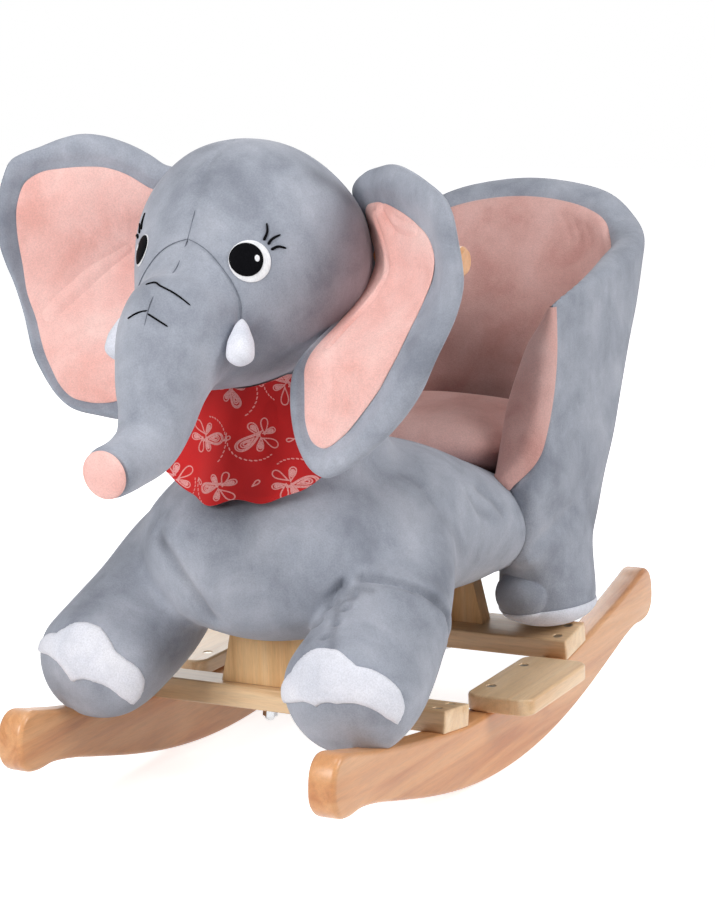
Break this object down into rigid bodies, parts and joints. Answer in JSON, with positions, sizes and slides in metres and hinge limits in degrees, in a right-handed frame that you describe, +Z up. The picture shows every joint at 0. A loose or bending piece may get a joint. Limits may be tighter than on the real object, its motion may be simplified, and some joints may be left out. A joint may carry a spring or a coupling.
{
  "type": "plush rocking elephant",
  "caption": "Child's rocker: a stuffed elephant with a bucket seat, handle dowel and footrests on a wooden frame with two curved rockers.",
  "frame": {"origin": "centre of the overall box in plan, on the floor under the rockers", "axes": "+X to the elephant's left, +Y to its back, -Y the way it faces, +Z up"},
  "size_m": [0.3816, 0.7232, 0.5004],
  "materials": {
    "varnished_wood": "clear varnished pine, sanded edges, light wear on the rockers",
    "plain_wood": "clear varnished board and plywood",
    "screw_steel": "zinc plated countersunk screws",
    "bolt_steel": "bright plated cap bolts",
    "grey_plush": "short pile plush with sewn seams",
    "pink_plush": "short pile plush",
    "white_plush": "short pile plush with stitched lines",
    "eye_cloth": "embroidered felt, black pupil on white",
    "red_cotton": "plain weave cotton with a printed traditional paisley pattern"
  },
  "bodies": {
    "frame_and_body": {"left_rocker": "varnished_wood", "right_rocker": "varnished_wood", "front_crossbar": "varnished_wood", "rear_crossbar": "varnished_wood", "left_footrest": "varnished_wood", "right_footrest": "varnished_wood", "front_upright": "plain_wood", "rear_upright": "plain_wood", "seat_board": "plain_wood", "neck_board": "plain_wood", "back_board": "plain_wood", "handle_dowel": "varnished_wood", "crossbar_screw_1": "screw_steel", "crossbar_screw_2": "screw_steel", "crossbar_screw_3": "screw_steel", "crossbar_screw_4": "screw_steel", "crossbar_screw_5": "screw_steel", "crossbar_screw_6": "screw_steel", "crossbar_screw_7": "screw_steel", "crossbar_screw_8": "screw_steel", "footrest_screw_1": "screw_steel", "footrest_screw_2": "screw_steel", "footrest_screw_3": "screw_steel", "footrest_screw_4": "screw_steel", "seat_board_screw_1": "screw_steel", "seat_board_screw_2": "screw_steel", "neck_board_screw": "screw_steel", "back_board_screw": "screw_steel", "cap_bolt_1": "bolt_steel", "cap_bolt_2": "bolt_steel", "cap_bolt_3": "bolt_steel", "cap_bolt_4": "bolt_steel", "torso": "grey_plush", "neck": "grey_plush", "head": "grey_plush", "trunk": "grey_plush", "trunk_tip": "pink_plush", "left_eye": "eye_cloth", "right_eye": "eye_cloth", "left_tusk": "white_plush", "right_tusk": "white_plush", "left_front_leg": "grey_plush", "right_front_leg": "grey_plush", "left_front_toes": "white_plush", "right_front_toes": "white_plush", "left_hind_leg": "grey_plush", "right_hind_leg": "grey_plush", "left_hind_toes": "white_plush", "right_hind_toes": "white_plush", "seat_shell": "grey_plush", "seat_lining": "pink_plush", "seat_cushion": "pink_plush", "bandana": "red_cotton"},
    "left_ear_flap": {"left_ear": "grey_plush", "left_ear_lining": "pink_plush"},
    "right_ear_flap": {"right_ear": "grey_plush", "right_ear_lining": "pink_plush"}
  },
  "joints": [
    {"name": "left_ear_swing", "type": "hinge", "parent": "frame_and_body", "child": "left_ear_flap", "pos_m": [0.084, -0.114, 0.38], "axis": [0, 0, 1], "range_deg": [0, 25], "stiffness_Nm_per_rad": 0.4},
    {"name": "right_ear_swing", "type": "hinge", "parent": "frame_and_body", "child": "right_ear_flap", "pos_m": [-0.084, -0.114, 0.38], "axis": [0, 0, -1], "range_deg": [0, 25], "stiffness_Nm_per_rad": 0.4}
  ]
}
